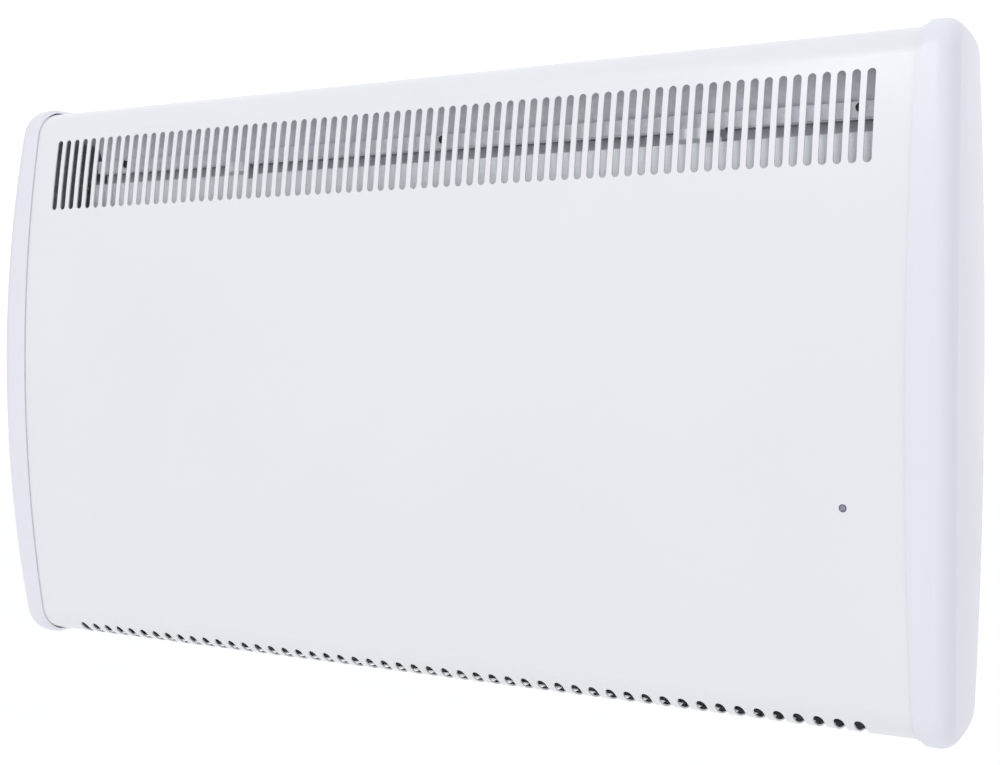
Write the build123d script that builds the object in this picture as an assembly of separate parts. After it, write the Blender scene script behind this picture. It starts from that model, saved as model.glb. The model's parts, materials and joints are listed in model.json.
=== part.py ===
from build123d import *

import math
import os

# Wall-hung fan convector heater, in millimetres.
# X runs to the right as seen from the room, -Y points into the room and Z is up.
# The wall is the plane Y = 0, and the origin is the centre of the four wall fixings.

# Casing
WIDTH = 762.0
HEIGHT = 424.0
DEPTH = 108.0
PANEL_HEIGHT = 416.0
SEAM_X = 354.0
FRONT_RADIUS = 1085.0
PANEL_BEND = 23.0
PANEL_SHEET = 1.0
CAP_WALL = 2.5
CAP_BEND = 25.0
CAP_LIP = 1.2
CAP_RAMP_START = 1.0
CAP_RAMP_END = 4.5
CAP_EDGE_RADIUS = 11.0
CAP_BOW_RADIUS = 4500.0
CAP_TAPER = 10.5
CAP_WIDEST_Y = -90.0
TUCK = 8.0
FIT_GAP = 0.15

# Air slots
OUTLET_SLOTS = 74
OUTLET_PITCH = 9.0
OUTLET_WIDTH = 5.2
OUTLET_LOW_Z = 128.0
OUTLET_HIGH_Z = 183.0
INLET_SLOTS = 51
INLET_PITCH = 12.7
INLET_WIDTH = 7.0
INLET_MIDDLE_X = 3.4
INLET_TOP_Z = -198.0
INLET_BACK_Y = -60.0

# Pressed steel inside the casing
STEEL = 1.0
CHASSIS_HALF_WIDTH = 349.0
CHASSIS_HALF_HEIGHT = 206.5
CHASSIS_FLANGE = 24.0
WALL_HOLE_SPACING_X = 560.0
WALL_HOLE_SPACING_Z = 300.0
WALL_HOLE_WIDTH = 6.5
WALL_HOLE_LENGTH = 14.0
CABLE_X = 300.0
CABLE_Z = -182.0
CABLE_HOLE_RADIUS = 9.0
GROMMET_BORE_RADIUS = 5.0
BRACKET_X = 345.0
BRACKET_FRONT_Y = -86.0
DUCT_LEFT_X = -300.0
DUCT_RIGHT_X = 232.0
DUCT_BACK_Y = -20.0
DUCT_TOP_Z = 150.0
DUCT_SLOPE_Z = 97.0
SHELF_Z = -60.0
SCREW_RADIUS = 1.9
COVER_SCREW_X = 250.0
COVER_SCREW_Y = -14.0
CAP_SCREW_Y = -50.0
CAP_SCREW_Z = 150.0

# Outlet hood and heat shield, the two plates behind the outlet slots
HOOD_LEFT_X = -299.5
HOOD_RIGHT_X = 340.0
HOOD_BAND_Y = -80.0
HOOD_BAND_LOW_Z = 156.5
HOOD_BAND_HIGH_Z = 165.0
HOOD_FACE_Y = -74.0
HOOD_CORNER_Y = -83.5
HOOD_CORNER_Z = 196.0
HOOD_TOP_Z = 200.5
OUTLET_LIP_Y = -70.0
OUTLET_LIP_LOW_Z = 143.0
SHIELD_Y = -88.0
SHIELD_TOP_Z = 147.0
SHIELD_BOTTOM_Z = -64.0
SHIELD_LEFT_X = -271.5
SHIELD_RIGHT_X = 340.0
TAB_XS = (-150.0, 212.5)
TAB_WIDTH = 17.0
TAB_STEP = 3.0
NOTCH_WIDTH = 9.0
NOTCH_DEPTH = 3.0
HOOD_SCREW_XS = (-270.0, 25.0, 318.0)
HOOD_SCREW_Z = HOOD_BAND_HIGH_Z - 2.5

# Tangential fan and its motor
FAN_Y = -58.0
FAN_Z = -122.0
FAN_RADIUS = 30.0
FAN_LENGTH = 300.0
FAN_LEFT_X = -190.0
FAN_BLADES = 26
FAN_CELLS = 4
BLADE_INNER_RADIUS = 22.5
BLADE_THICKNESS = 0.8
SHAFT_RADIUS = 3.0
RUNNING_GAP = 0.05
HUB_RADIUS = 8.0
SCROLL_RADIUS = 38.0
FAN_PLATE_GAP = 5.0
FAN_PLATE_RIGHT_X = FAN_LEFT_X + FAN_LENGTH + FAN_PLATE_GAP
PLATE_HOLE_RADIUS = 9.5
CORE_X = 140.0
CORE_STACK = 20.0
CORE_TOP_Z = -70.0
ROTOR_RADIUS = 15.0
MOTOR_BOLT_OFFSET = 24.0

# Heating element
ELEMENT_Y = -58.0
ELEMENT_LOW_Z = -10.0
ELEMENT_HIGH_Z = 42.0
ELEMENT_RADIUS = 4.0
ELEMENT_BEND_X = -258.0
ELEMENT_END_X = 258.0
BUSH_NECK_RADIUS = 6.5
FIN_THICKNESS = 0.6
FIN_PITCH = 9.0
FIN_COUNT = 52
FIN_START_X = -248.0
FIN_DEPTH = 34.0
FIN_HEIGHT = 86.0

# Controls
BUTTON_X = 317.0
BUTTON_Z = -71.0
BUTTON_HOLE_RADIUS = 2.4
BUTTON_RADIUS = 1.95
BUTTON_TRAVEL = 0.6
BUTTON_RECESS = 0.3
HOUSING_LEFT_X = 268.0
HOUSING_RIGHT_X = 331.0
HOUSING_BOTTOM_Z = -105.0
HOUSING_TOP_Z = 100.0
BOARD_BACK_Y = -60.0
BOARD_THICKNESS = 1.6
SWITCH_SIZE = 6.0
SWITCH_HEIGHT = 4.0
TERMINAL_XS = (287.0, 300.0, 313.0)


def front_y(z, apex_y=-DEPTH + CAP_LIP):
    """Y of the curved front at height z."""
    return apex_y + FRONT_RADIUS - math.sqrt(FRONT_RADIUS**2 - z**2)


def side_face(half_height, apex_y, front_radius, bend_radius, back_y):
    """Side view of the casing: curved front, rounded bends, flat top and underside."""
    centre_y = apex_y + front_radius
    bend_z = half_height - bend_radius
    bend_y = centre_y - math.sqrt((front_radius - bend_radius) ** 2 - bend_z**2)
    lean = math.atan2(bend_z, centre_y - bend_y)
    tangent_y = centre_y - front_radius * math.cos(lean)
    tangent_z = front_radius * math.sin(lean)
    half_turn = (lean + math.pi / 2) / 2
    middle_y = bend_y - bend_radius * math.cos(half_turn)
    middle_z = bend_z + bend_radius * math.sin(half_turn)
    edges = [
        ThreePointArc((tangent_y, -tangent_z), (apex_y, 0), (tangent_y, tangent_z)),
        ThreePointArc((tangent_y, tangent_z), (middle_y, middle_z), (bend_y, half_height)),
        Line((bend_y, half_height), (back_y, half_height)),
        Line((back_y, half_height), (back_y, -half_height)),
        Line((back_y, -half_height), (bend_y, -half_height)),
        ThreePointArc((bend_y, -half_height), (middle_y, -middle_z), (tangent_y, -tangent_z)),
    ]
    return Plane.YZ * make_face(edges)


def panel_face(offset=0.0, back_y=0.0):
    """Side view of the front cover's outer skin, grown by offset."""
    return side_face(
        PANEL_HEIGHT / 2 + offset,
        -DEPTH + CAP_LIP - offset,
        FRONT_RADIUS + offset,
        PANEL_BEND + offset,
        back_y,
    )


def cap_face(offset=0.0, back_y=0.0):
    """Side view of an end cap's outer skin, grown by offset."""
    return side_face(
        HEIGHT / 2 + offset,
        -DEPTH - offset,
        FRONT_RADIUS + CAP_LIP + offset,
        CAP_BEND + offset,
        back_y,
    )


def box(x_range, y_range, z_range):
    """A block between two X, two Y and two Z values."""
    size = [high - low for low, high in (x_range, y_range, z_range)]
    centre = [(high + low) / 2 for low, high in (x_range, y_range, z_range)]
    return Pos(*centre) * Box(*size)


def rod(start, direction, radius, length):
    """A round bar from start along a unit direction."""
    return extrude(Plane(origin=start, z_dir=direction) * Circle(radius), length)


def pan_screw(head_seat, direction, shank_radius=1.9, shank_length=9.0, head_radius=3.8, head_height=2.4):
    """A pan-head screw whose head sits on head_seat and whose shank runs along direction."""
    out = tuple(-value for value in direction)
    head = rod(head_seat, out, head_radius, head_height)
    head = fillet(head.edges().sort_by(Axis(head_seat, out))[-1], head_height * 0.45)
    shank = rod(head_seat, direction, shank_radius, shank_length)
    slot_plane = Plane(origin=head_seat, z_dir=out).offset(head_height - 0.9)
    slots = extrude(slot_plane * (Rectangle(3.6, 0.9) + Rectangle(0.9, 3.6)), 2.0)
    return head + shank - slots


def front_cover():
    """Painted steel cover with the outlet slots in its face and the inlet slots round its lower bend."""
    half_width = SEAM_X + TUCK
    back_y = -3.0
    skin = extrude(panel_face(0, back_y), half_width, both=True)
    skin -= extrude(panel_face(-PANEL_SHEET, 1.0), half_width + 1, both=True)
    skin -= outlet_cutters()
    skin -= inlet_cutters()
    button_hole = rod((BUTTON_X, -DEPTH - 1, BUTTON_Z), (0, 1, 0), BUTTON_HOLE_RADIUS, 30)
    skin -= button_hole
    for x, z_sign in cover_screw_places():
        start = (x, COVER_SCREW_Y, z_sign * (PANEL_HEIGHT / 2 + 2))
        skin -= rod(start, (0, 0, -z_sign), 2.1, 6)
    return skin


def outlet_cutters():
    """Upright slots with round ends across the upper part of the face."""
    height = OUTLET_HIGH_Z - OUTLET_LOW_Z
    middle_z = (OUTLET_HIGH_Z + OUTLET_LOW_Z) / 2
    slot = SlotOverall(height, OUTLET_WIDTH, rotation=90)
    row = Sketch()
    for place in GridLocations(OUTLET_PITCH, 0, OUTLET_SLOTS, 1):
        row += place * slot
    plane = Plane(origin=(0, -DEPTH - 5, middle_z), x_dir=(1, 0, 0), z_dir=(0, -1, 0))
    return extrude(plane * row, -35)


def inlet_cutters():
    """Slots that start on the lower bend and run back along the underside."""
    apex_y = -DEPTH + CAP_LIP
    bottom_z = -PANEL_HEIGHT / 2
    bend_z = PANEL_HEIGHT / 2 - PANEL_BEND
    bend_y = apex_y + FRONT_RADIUS - math.sqrt((FRONT_RADIUS - PANEL_BEND) ** 2 - bend_z**2)
    radius = INLET_WIDTH / 2
    front_start_y = -DEPTH - 5
    cutters = []
    for index in range(INLET_SLOTS):
        x = INLET_MIDDLE_X + (index - (INLET_SLOTS - 1) / 2) * INLET_PITCH
        sides = (x - radius, x + radius)
        cutter = box(sides, (front_start_y, bend_y), (bottom_z - 2, INLET_TOP_Z - radius))
        cutter += rod((x, front_start_y, INLET_TOP_Z - radius), (0, 1, 0), radius, bend_y - front_start_y)
        cutter += box(sides, (bend_y, INLET_BACK_Y - radius), (bottom_z - 2, bottom_z + 2))
        cutter += rod((x, INLET_BACK_Y - radius, bottom_z - 2), (0, 0, 1), radius, 4)
        cutters.append(cutter)
    return cutters


def cap_plan_blank(inset):
    """Plan of an end cap, turned about a far axis so that its outer side bows gently."""
    side_x = WIDTH / 2 - inset
    low_x = SEAM_X - 30
    front_limit = -DEPTH - 10
    front_x = side_x - CAP_TAPER * ((front_limit - CAP_WIDEST_Y) / CAP_WIDEST_Y) ** 2
    edges = [
        Line((low_x, front_limit), (front_x, front_limit)),
        ThreePointArc((front_x, front_limit), (side_x, CAP_WIDEST_Y), (side_x - CAP_TAPER, 0)),
        Line((side_x - CAP_TAPER, 0), (low_x, 0)),
        Line((low_x, 0), (low_x, front_limit)),
    ]
    axis = Axis((side_x - CAP_BOW_RADIUS, 0, 0), (0, 1, 0))
    swing = 5.0
    return revolve(make_face(edges).rotate(axis, swing), axis, -2 * swing)


def cap_blank(inset, start_x):
    """Solid end cap with a soft outer rim, or its hollow when inset is the wall thickness."""
    block = Pos(start_x, 0, 0) * extrude(cap_face(-inset), WIDTH / 2 - start_x + 5)
    blank = block & cap_plan_blank(inset)
    rim = [edge for edge in blank.edges() if edge.geom_type == GeomType.BSPLINE]
    return fillet(rim, CAP_EDGE_RADIUS - inset)


def cap_ramp():
    """The rise from the cover's skin to the cap's full height beside the seam."""
    low = Pos(SEAM_X + CAP_RAMP_START, 0, 0) * panel_face(CAP_LIP - 0.1, 1.0)
    high = Pos(SEAM_X + CAP_RAMP_END, 0, 0) * cap_face(0.1, 1.0)
    ramp = loft([low.face(), high.face()], ruled=True)
    ramp += Pos(SEAM_X, 0, 0) * extrude(panel_face(CAP_LIP - 0.1, 1.0), CAP_RAMP_START)
    return ramp + Pos(SEAM_X + CAP_RAMP_END, 0, 0) * extrude(cap_face(20.0, 1.0), WIDTH)


def right_end_cap():
    """Moulded end cap: a hollow dish that overlaps the cover's edge and is screwed to the end bracket."""
    cap = cap_blank(0, SEAM_X) & cap_ramp()
    cap -= cap_blank(CAP_WALL, SEAM_X - 1)
    cap -= Pos(SEAM_X - 1, 0, 0) * extrude(panel_face(FIT_GAP, 1.0), TUCK + 1 + FIT_GAP)
    for z in (-CAP_SCREW_Z, CAP_SCREW_Z):
        start = (BRACKET_X + STEEL, CAP_SCREW_Y, z)
        boss = rod(start, (1, 0, 0), 4.5, WIDTH / 2 - CAP_WALL - BRACKET_X - STEEL)
        cap += boss & cap_plan_blank(CAP_WALL / 2)
        cap -= rod(start, (1, 0, 0), SCREW_RADIUS, 10.0)
    return cap


def left_end_cap():
    """The mirror image of the right end cap."""
    return mirror(right_end_cap(), Plane.YZ)


def rear_chassis():
    """Galvanised tray that hangs on the wall: back plate with a turned flange all round."""
    tray = box(
        (-CHASSIS_HALF_WIDTH, CHASSIS_HALF_WIDTH),
        (-CHASSIS_FLANGE, 0),
        (-CHASSIS_HALF_HEIGHT, CHASSIS_HALF_HEIGHT),
    )
    tray -= box(
        (-CHASSIS_HALF_WIDTH + STEEL, CHASSIS_HALF_WIDTH - STEEL),
        (-CHASSIS_FLANGE - 1, -STEEL),
        (-CHASSIS_HALF_HEIGHT + STEEL, CHASSIS_HALF_HEIGHT - STEEL),
    )
    slot_plane = Plane(origin=(0, 1, 0), x_dir=(1, 0, 0), z_dir=(0, -1, 0))
    slot = SlotOverall(WALL_HOLE_LENGTH, WALL_HOLE_WIDTH)
    for place in GridLocations(WALL_HOLE_SPACING_X, WALL_HOLE_SPACING_Z, 2, 2):
        tray -= extrude(slot_plane * place * slot, 5)
    tray -= rod((CABLE_X, 1, CABLE_Z), (0, -1, 0), CABLE_HOLE_RADIUS, 5)
    for x, z_sign in cover_screw_places():
        start = (x, COVER_SCREW_Y, z_sign * (CHASSIS_HALF_HEIGHT + 1))
        tray -= rod(start, (0, 0, -z_sign), SCREW_RADIUS, 5)
    return tray


def cover_screw_places():
    """X and side (top +1, underside -1) of the screws that hold the cover to the chassis."""
    return [(x, z_sign) for x in (-COVER_SCREW_X, COVER_SCREW_X) for z_sign in (-1, 1)]


def cover_screws():
    """Four screws through the cover's top and underside."""
    screws = []
    for x, z_sign in cover_screw_places():
        seat = (x, COVER_SCREW_Y, z_sign * PANEL_HEIGHT / 2)
        screws.append(pan_screw(seat, (0, 0, -z_sign), shank_length=6.0))
    return screws


def end_bracket(side):
    """Upright steel plate at one end, with a back flange on the chassis and a front flange."""
    x = side * BRACKET_X
    outer = sorted((x, x + side * STEEL))
    inner = sorted((x - side * 12, x + side * STEEL))
    half_height = 185.0
    plate = box(outer, (BRACKET_FRONT_Y, -STEEL), (-half_height, half_height))
    plate += box(inner, (-2 * STEEL, -STEEL), (-half_height, half_height))
    plate += box(inner, (BRACKET_FRONT_Y - STEEL, BRACKET_FRONT_Y), (-half_height, 144.0))
    for z in (-CAP_SCREW_Z, CAP_SCREW_Z):
        plate -= rod((x - side * 2, CAP_SCREW_Y, z), (side, 0, 0), SCREW_RADIUS, 5)
    return plate


def cap_screws():
    """Four screws from inside the end brackets into the cap bosses."""
    screws = []
    for side in (-1, 1):
        for z in (-CAP_SCREW_Z, CAP_SCREW_Z):
            screws.append(pan_screw((side * BRACKET_X, CAP_SCREW_Y, z), (side, 0, 0)))
    return screws


def folded_sheet(points, start_x, end_x, thickness=STEEL):
    """A folded sheet: one side follows the (y, z) points and the other lies to their left."""
    near = [Vector(y, z) for y, z in points]
    runs = [(end - start).normalized() for start, end in zip(near, near[1:])]
    normals = [Vector(-run.Y, run.X) for run in runs]
    offsets = [normals[0] * thickness]
    for before, after in zip(normals, normals[1:]):
        bisector = (before + after).normalized()
        offsets.append(bisector * (thickness / bisector.dot(before)))
    offsets.append(normals[-1] * thickness)
    far = [point + offset for point, offset in zip(near, offsets)]
    outline = Polyline(*near, *reversed(far), close=True)
    return Pos(start_x, 0, 0) * extrude(Plane.YZ * make_face(outline), end_x - start_x)


def outlet_hood():
    """Folded hood above the outlet: screw band, recessed sloping face and a top back to the chassis."""
    points = [
        (HOOD_BAND_Y + STEEL, HOOD_BAND_LOW_Z),
        (HOOD_BAND_Y + STEEL, HOOD_BAND_HIGH_Z),
        (HOOD_FACE_Y, HOOD_BAND_HIGH_Z),
        (HOOD_CORNER_Y, HOOD_CORNER_Z),
        (-30.0, HOOD_TOP_Z),
        (-2 * STEEL, HOOD_TOP_Z),
        (-2 * STEEL, HOOD_TOP_Z - 12),
    ]
    hood = folded_sheet(points, HOOD_LEFT_X, HOOD_RIGHT_X)
    for x in HOOD_SCREW_XS:
        hood -= rod((x, HOOD_BAND_Y - 3, HOOD_SCREW_Z), (0, 1, 0), SCREW_RADIUS, 6)
    return hood


def hood_screws():
    """Screws through the hood's band into the duct back."""
    return [
        pan_screw(
            (x, HOOD_BAND_Y, HOOD_SCREW_Z), (0, 1, 0), shank_length=6.0, head_radius=2.8, head_height=1.8
        )
        for x in HOOD_SCREW_XS
    ]


def heat_shield():
    """Flat shield behind the cover, with two tabs that reach up to the hood's band."""
    shield = box(
        (SHIELD_LEFT_X, SHIELD_RIGHT_X), (SHIELD_Y, SHIELD_Y + STEEL), (SHIELD_BOTTOM_Z, SHIELD_TOP_Z)
    )
    for x in TAB_XS:
        right = x + TAB_WIDTH / 2
        left = x - TAB_WIDTH / 2
        tab = folded_sheet(
            [
                (SHIELD_Y + STEEL, SHIELD_TOP_Z - 1),
                (SHIELD_Y + STEEL, SHIELD_TOP_Z + 0.5),
                (SHIELD_Y + STEEL - TAB_STEP, SHIELD_TOP_Z + 3.0),
                (SHIELD_Y + STEEL - TAB_STEP, HOOD_BAND_LOW_Z - 0.5),
            ],
            left,
            right,
        )
        shield += tab
        notch_z = (SHIELD_TOP_Z - NOTCH_DEPTH, SHIELD_TOP_Z + 1)
        shield -= box((right, right + NOTCH_WIDTH), (SHIELD_Y - 1, SHIELD_Y + 2), notch_z)
    for x, z in shield_screw_places():
        shield -= rod((x, SHIELD_Y - 1, z), (0, 1, 0), SCREW_RADIUS, 3)
    return shield


def shield_screw_places():
    """X and Z of the screws that hold the heat shield."""
    left_x = SHIELD_LEFT_X + 4
    right_x = SHIELD_RIGHT_X - 3
    return [(x, z) for x in (left_x, right_x) for z in (SHIELD_BOTTOM_Z + 14, SHIELD_TOP_Z - 26)]


def shield_screws():
    """Four screws through the heat shield into the flanges behind it."""
    return [
        pan_screw((x, SHIELD_Y, z), (0, 1, 0), shank_length=5.0, head_radius=3.0, head_height=1.8)
        for x, z in shield_screw_places()
    ]


def duct_side(x, flange_reach):
    """Upright side of the heater duct, with a flange on the chassis and one behind the shield."""
    side = box((x, x + STEEL), (SHIELD_Y + STEEL, -STEEL), (SHELF_Z, DUCT_TOP_Z))
    outward = -math.copysign(12, flange_reach)
    back_range = sorted((x + STEEL / 2, x + outward))
    side += box(back_range, (-2 * STEEL, -STEEL), (SHELF_Z, DUCT_TOP_Z))
    front_range = sorted((x + STEEL / 2, x + flange_reach))
    side += box(front_range, (SHIELD_Y + STEEL, SHIELD_Y + 2 * STEEL), (SHELF_Z, SHIELD_TOP_Z))
    return side


def duct_left_side():
    """Left side of the duct, drilled for the shield screws."""
    side = duct_side(DUCT_LEFT_X, 34.0)
    for x, z in shield_screw_places()[:2]:
        side -= rod((x, SHIELD_Y, z), (0, 1, 0), SCREW_RADIUS, 6)
    return side


def duct_right_side():
    """Right side of the duct, holed for the two element ends."""
    side = duct_side(DUCT_RIGHT_X, -14.0)
    for z in (ELEMENT_LOW_Z, ELEMENT_HIGH_Z):
        side -= rod((DUCT_RIGHT_X - 2, ELEMENT_Y, z), (1, 0, 0), BUSH_NECK_RADIUS, 6)
    return side


def right_end_bracket():
    """Right end bracket, with the outlet lip beside the duct and drilled for shield and hood screws."""
    bracket = end_bracket(1)
    bracket += folded_sheet(outlet_lip_points(), DUCT_RIGHT_X + 2 * STEEL, BRACKET_X + STEEL)
    bracket -= rod((HOOD_SCREW_XS[-1], HOOD_BAND_Y, HOOD_SCREW_Z), (0, 1, 0), SCREW_RADIUS, 4)
    for x, z in shield_screw_places()[2:]:
        bracket -= rod((x, SHIELD_Y, z), (0, 1, 0), SCREW_RADIUS, 6)
    return bracket


def outlet_lip_points():
    """Profile of the lip behind the outlet gap, stepped forward at its top to back the hood's band."""
    return [
        (OUTLET_LIP_Y, OUTLET_LIP_LOW_Z),
        (OUTLET_LIP_Y, HOOD_BAND_LOW_Z),
        (HOOD_BAND_Y + 2 * STEEL, HOOD_BAND_LOW_Z),
        (HOOD_BAND_Y + 2 * STEEL, HOOD_BAND_HIGH_Z - 1),
    ]


def duct_back():
    """Back of the duct, sloping forward above the element to the lip behind the outlet gap."""
    points = [(DUCT_BACK_Y, SHELF_Z + STEEL), (DUCT_BACK_Y, DUCT_SLOPE_Z)] + outlet_lip_points()
    back = folded_sheet(points, DUCT_LEFT_X + STEEL, DUCT_RIGHT_X)
    for x in HOOD_SCREW_XS[:-1]:
        back -= rod((x, HOOD_BAND_Y - 1, HOOD_SCREW_Z), (0, 1, 0), SCREW_RADIUS, 12)
    return back


def fan_shelf():
    """Floor of the duct, open above the fan."""
    shelf_y = (SHIELD_Y + 2 * STEEL, DUCT_BACK_Y)
    shelf = box((DUCT_LEFT_X + STEEL, DUCT_RIGHT_X), shelf_y, (SHELF_Z, SHELF_Z + STEEL))
    throat = (FAN_LEFT_X - FAN_PLATE_GAP, FAN_LEFT_X + FAN_LENGTH + FAN_PLATE_GAP)
    return shelf - box(throat, (SHIELD_Y + 6, DUCT_BACK_Y - 3), (SHELF_Z - 1, SHELF_Z + 2))


def heating_element():
    """Sheathed hairpin element with its two cold ends on the right."""
    bend = (ELEMENT_HIGH_Z - ELEMENT_LOW_Z) / 2
    middle_z = (ELEMENT_HIGH_Z + ELEMENT_LOW_Z) / 2
    path = [
        Line((ELEMENT_END_X, ELEMENT_Y, ELEMENT_LOW_Z), (ELEMENT_BEND_X, ELEMENT_Y, ELEMENT_LOW_Z)),
        ThreePointArc(
            (ELEMENT_BEND_X, ELEMENT_Y, ELEMENT_LOW_Z),
            (ELEMENT_BEND_X - bend, ELEMENT_Y, middle_z),
            (ELEMENT_BEND_X, ELEMENT_Y, ELEMENT_HIGH_Z),
        ),
        Line((ELEMENT_BEND_X, ELEMENT_Y, ELEMENT_HIGH_Z), (ELEMENT_END_X, ELEMENT_Y, ELEMENT_HIGH_Z)),
    ]
    start = Plane(origin=(ELEMENT_END_X, ELEMENT_Y, ELEMENT_LOW_Z), z_dir=(-1, 0, 0))
    tube = sweep(start * Circle(ELEMENT_RADIUS), path=Wire(path))
    for z in (ELEMENT_LOW_Z, ELEMENT_HIGH_Z):
        tube += rod((ELEMENT_END_X, ELEMENT_Y, z), (1, 0, 0), 1.5, 6)
    return tube


def element_fins():
    """Thin plates along both runs of the element."""
    middle_z = (ELEMENT_HIGH_Z + ELEMENT_LOW_Z) / 2
    fin = Plane.YZ * (Pos(ELEMENT_Y, middle_z) * RectangleRounded(FIN_DEPTH, FIN_HEIGHT, 4))
    for z in (ELEMENT_LOW_Z, ELEMENT_HIGH_Z):
        fin -= Plane.YZ * (Pos(ELEMENT_Y, z) * Circle(ELEMENT_RADIUS))
    return [Pos(FIN_START_X + i * FIN_PITCH, 0, 0) * extrude(fin, FIN_THICKNESS) for i in range(FIN_COUNT)]


def element_support():
    """Bracket that carries the bent end of the element on the duct back."""
    x = FIN_START_X - 6
    web_z = (ELEMENT_LOW_Z - 14, ELEMENT_HIGH_Z + 14)
    support = box((x, x + STEEL), (ELEMENT_Y - 10, DUCT_BACK_Y - STEEL), web_z)
    support += box((x - 10, x + STEEL), (DUCT_BACK_Y - 2 * STEEL, DUCT_BACK_Y - STEEL), (-24, 56))
    for z in (ELEMENT_LOW_Z, ELEMENT_HIGH_Z):
        support -= rod((x - 1, ELEMENT_Y, z), (1, 0, 0), ELEMENT_RADIUS, 3)
    return support


def element_bushes():
    """Ceramic bushes where the element ends pass through the duct side."""
    bushes = []
    for z in (ELEMENT_LOW_Z, ELEMENT_HIGH_Z):
        neck = rod((DUCT_RIGHT_X, ELEMENT_Y, z), (1, 0, 0), BUSH_NECK_RADIUS, 6)
        flange = rod((DUCT_RIGHT_X + STEEL, ELEMENT_Y, z), (1, 0, 0), BUSH_NECK_RADIUS + 3, 3)
        bore = rod((DUCT_RIGHT_X - 1, ELEMENT_Y, z), (1, 0, 0), ELEMENT_RADIUS, 10)
        bushes.append(neck + flange - bore)
    return bushes


def thermal_cutout():
    """Disc thermostat on the outside of the duct's left side, with two blade terminals."""
    y = -55.0
    z = 100.0
    cutout = rod((DUCT_LEFT_X, y, z), (-1, 0, 0), 8, 7)
    cutout += box((DUCT_LEFT_X - 1.2, DUCT_LEFT_X), (y - 6, y + 6), (z - 15, z + 15))
    for offset in (-4.5, 4.5):
        blade_y = (y + offset - 0.4, y + offset + 0.4)
        cutout += box((DUCT_LEFT_X - 15, DUCT_LEFT_X - 7), blade_y, (z - 3, z + 3))
    return cutout


def air_sensor():
    """Thermistor bead in a plastic clip near the inlet slots."""
    x = 322.0
    z = -186.0
    clip = box((x - 6, x + 6), (-4, -STEEL), (z - 6, z + 6))
    clip += box((x - 1.5, x + 1.5), (-34, -4), (z - 1.5, z + 1.5))
    return clip + Pos(x, -35, z) * Sphere(2.6)


def fan_axis_rod(start_x, radius, length):
    """A cylinder on the fan's axis."""
    return rod((start_x, FAN_Y, FAN_Z), (1, 0, 0), radius, length)


def fan_ring(start_x, inner_radius, outer_radius, length):
    """A ring on the fan's axis."""
    return fan_axis_rod(start_x, outer_radius, length) - fan_axis_rod(start_x - 1, inner_radius, length + 2)


def fan_impeller():
    """Tangential impeller: curved blades held between end discs and rings."""
    disc = 2.0
    outer = FAN_RADIUS - 0.6
    inner = BLADE_INNER_RADIUS
    middle = (outer + inner) / 2
    bow = 1.6
    near_points = [(inner, 0), (middle, bow), (outer, 0.5)]
    far_points = [(x, y + BLADE_THICKNESS) for x, y in reversed(near_points)]
    blade_edges = [
        ThreePointArc(*near_points),
        Line(near_points[-1], far_points[0]),
        ThreePointArc(*far_points),
        Line(far_points[-1], near_points[0]),
    ]
    section = Sketch() + [place * make_face(blade_edges) for place in PolarLocations(0, FAN_BLADES)]
    plane = Plane(origin=(FAN_LEFT_X, FAN_Y, FAN_Z), x_dir=(0, 1, 0), z_dir=(1, 0, 0))
    wheel = extrude(plane * section, FAN_LENGTH)
    pitch = (FAN_LENGTH - disc) / FAN_CELLS
    for index in range(FAN_CELLS + 1):
        x = FAN_LEFT_X + index * pitch
        is_end = index in (0, FAN_CELLS)
        wheel += fan_ring(x, SHAFT_RADIUS if is_end else inner - 1.5, FAN_RADIUS, disc)
    wheel += fan_ring(FAN_LEFT_X, SHAFT_RADIUS, HUB_RADIUS, 10)
    wheel += fan_ring(FAN_LEFT_X + FAN_LENGTH - 10, SHAFT_RADIUS, HUB_RADIUS, 10)
    return wheel


def fan_stub_shaft():
    """Steel stub that carries the impeller's left end."""
    return fan_axis_rod(FAN_LEFT_X - 14, SHAFT_RADIUS, 24)


def motor_shaft():
    """Steel shaft from the motor into the impeller's right hub."""
    start_x = FAN_LEFT_X + FAN_LENGTH - 9
    return fan_axis_rod(start_x, SHAFT_RADIUS, CORE_X + CORE_STACK + 18 - start_x)


def motor_rotor():
    """Rotor pressed on the motor shaft."""
    rotor = fan_ring(CORE_X - 2, SHAFT_RADIUS, ROTOR_RADIUS, CORE_STACK + 4)
    return chamfer(rotor.edges().filter_by(GeomType.CIRCLE).sort_by(SortBy.RADIUS)[-2:], 0.8)


def left_bearing():
    """Sintered bush for the stub shaft."""
    x = FAN_LEFT_X - FAN_PLATE_GAP - STEEL
    return fan_ring(x - 5, SHAFT_RADIUS + RUNNING_GAP, 6.0, 8.0)


def bearing_mount():
    """Grooved rubber ring that holds the bush in the left fan plate."""
    x = FAN_LEFT_X - FAN_PLATE_GAP - STEEL
    ring = fan_ring(x - 2, 6.0, PLATE_HOLE_RADIUS, 2 + STEEL + 1.8)
    ring += fan_ring(x - 2, 6.0, 11.5, 2)
    return ring + fan_ring(x + STEEL, 6.0, 11.5, 1.8)


def fan_plate(x, hole_radius):
    """End plate of the fan housing with a flange on the chassis."""
    plate = box((x, x + STEEL), (BRACKET_FRONT_Y, -STEEL), (-164, SHELF_Z))
    back_range = (x - 10, x + STEEL) if x < 0 else (x, x + 11)
    plate += box(back_range, (-2 * STEEL, -STEEL), (-164, SHELF_Z))
    return plate - rod((x - 1, FAN_Y, FAN_Z), (1, 0, 0), hole_radius, 3)


def fan_left_plate():
    """Left end plate, holed for the rubber ring."""
    return fan_plate(FAN_LEFT_X - FAN_PLATE_GAP - STEEL, PLATE_HOLE_RADIUS)


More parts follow.
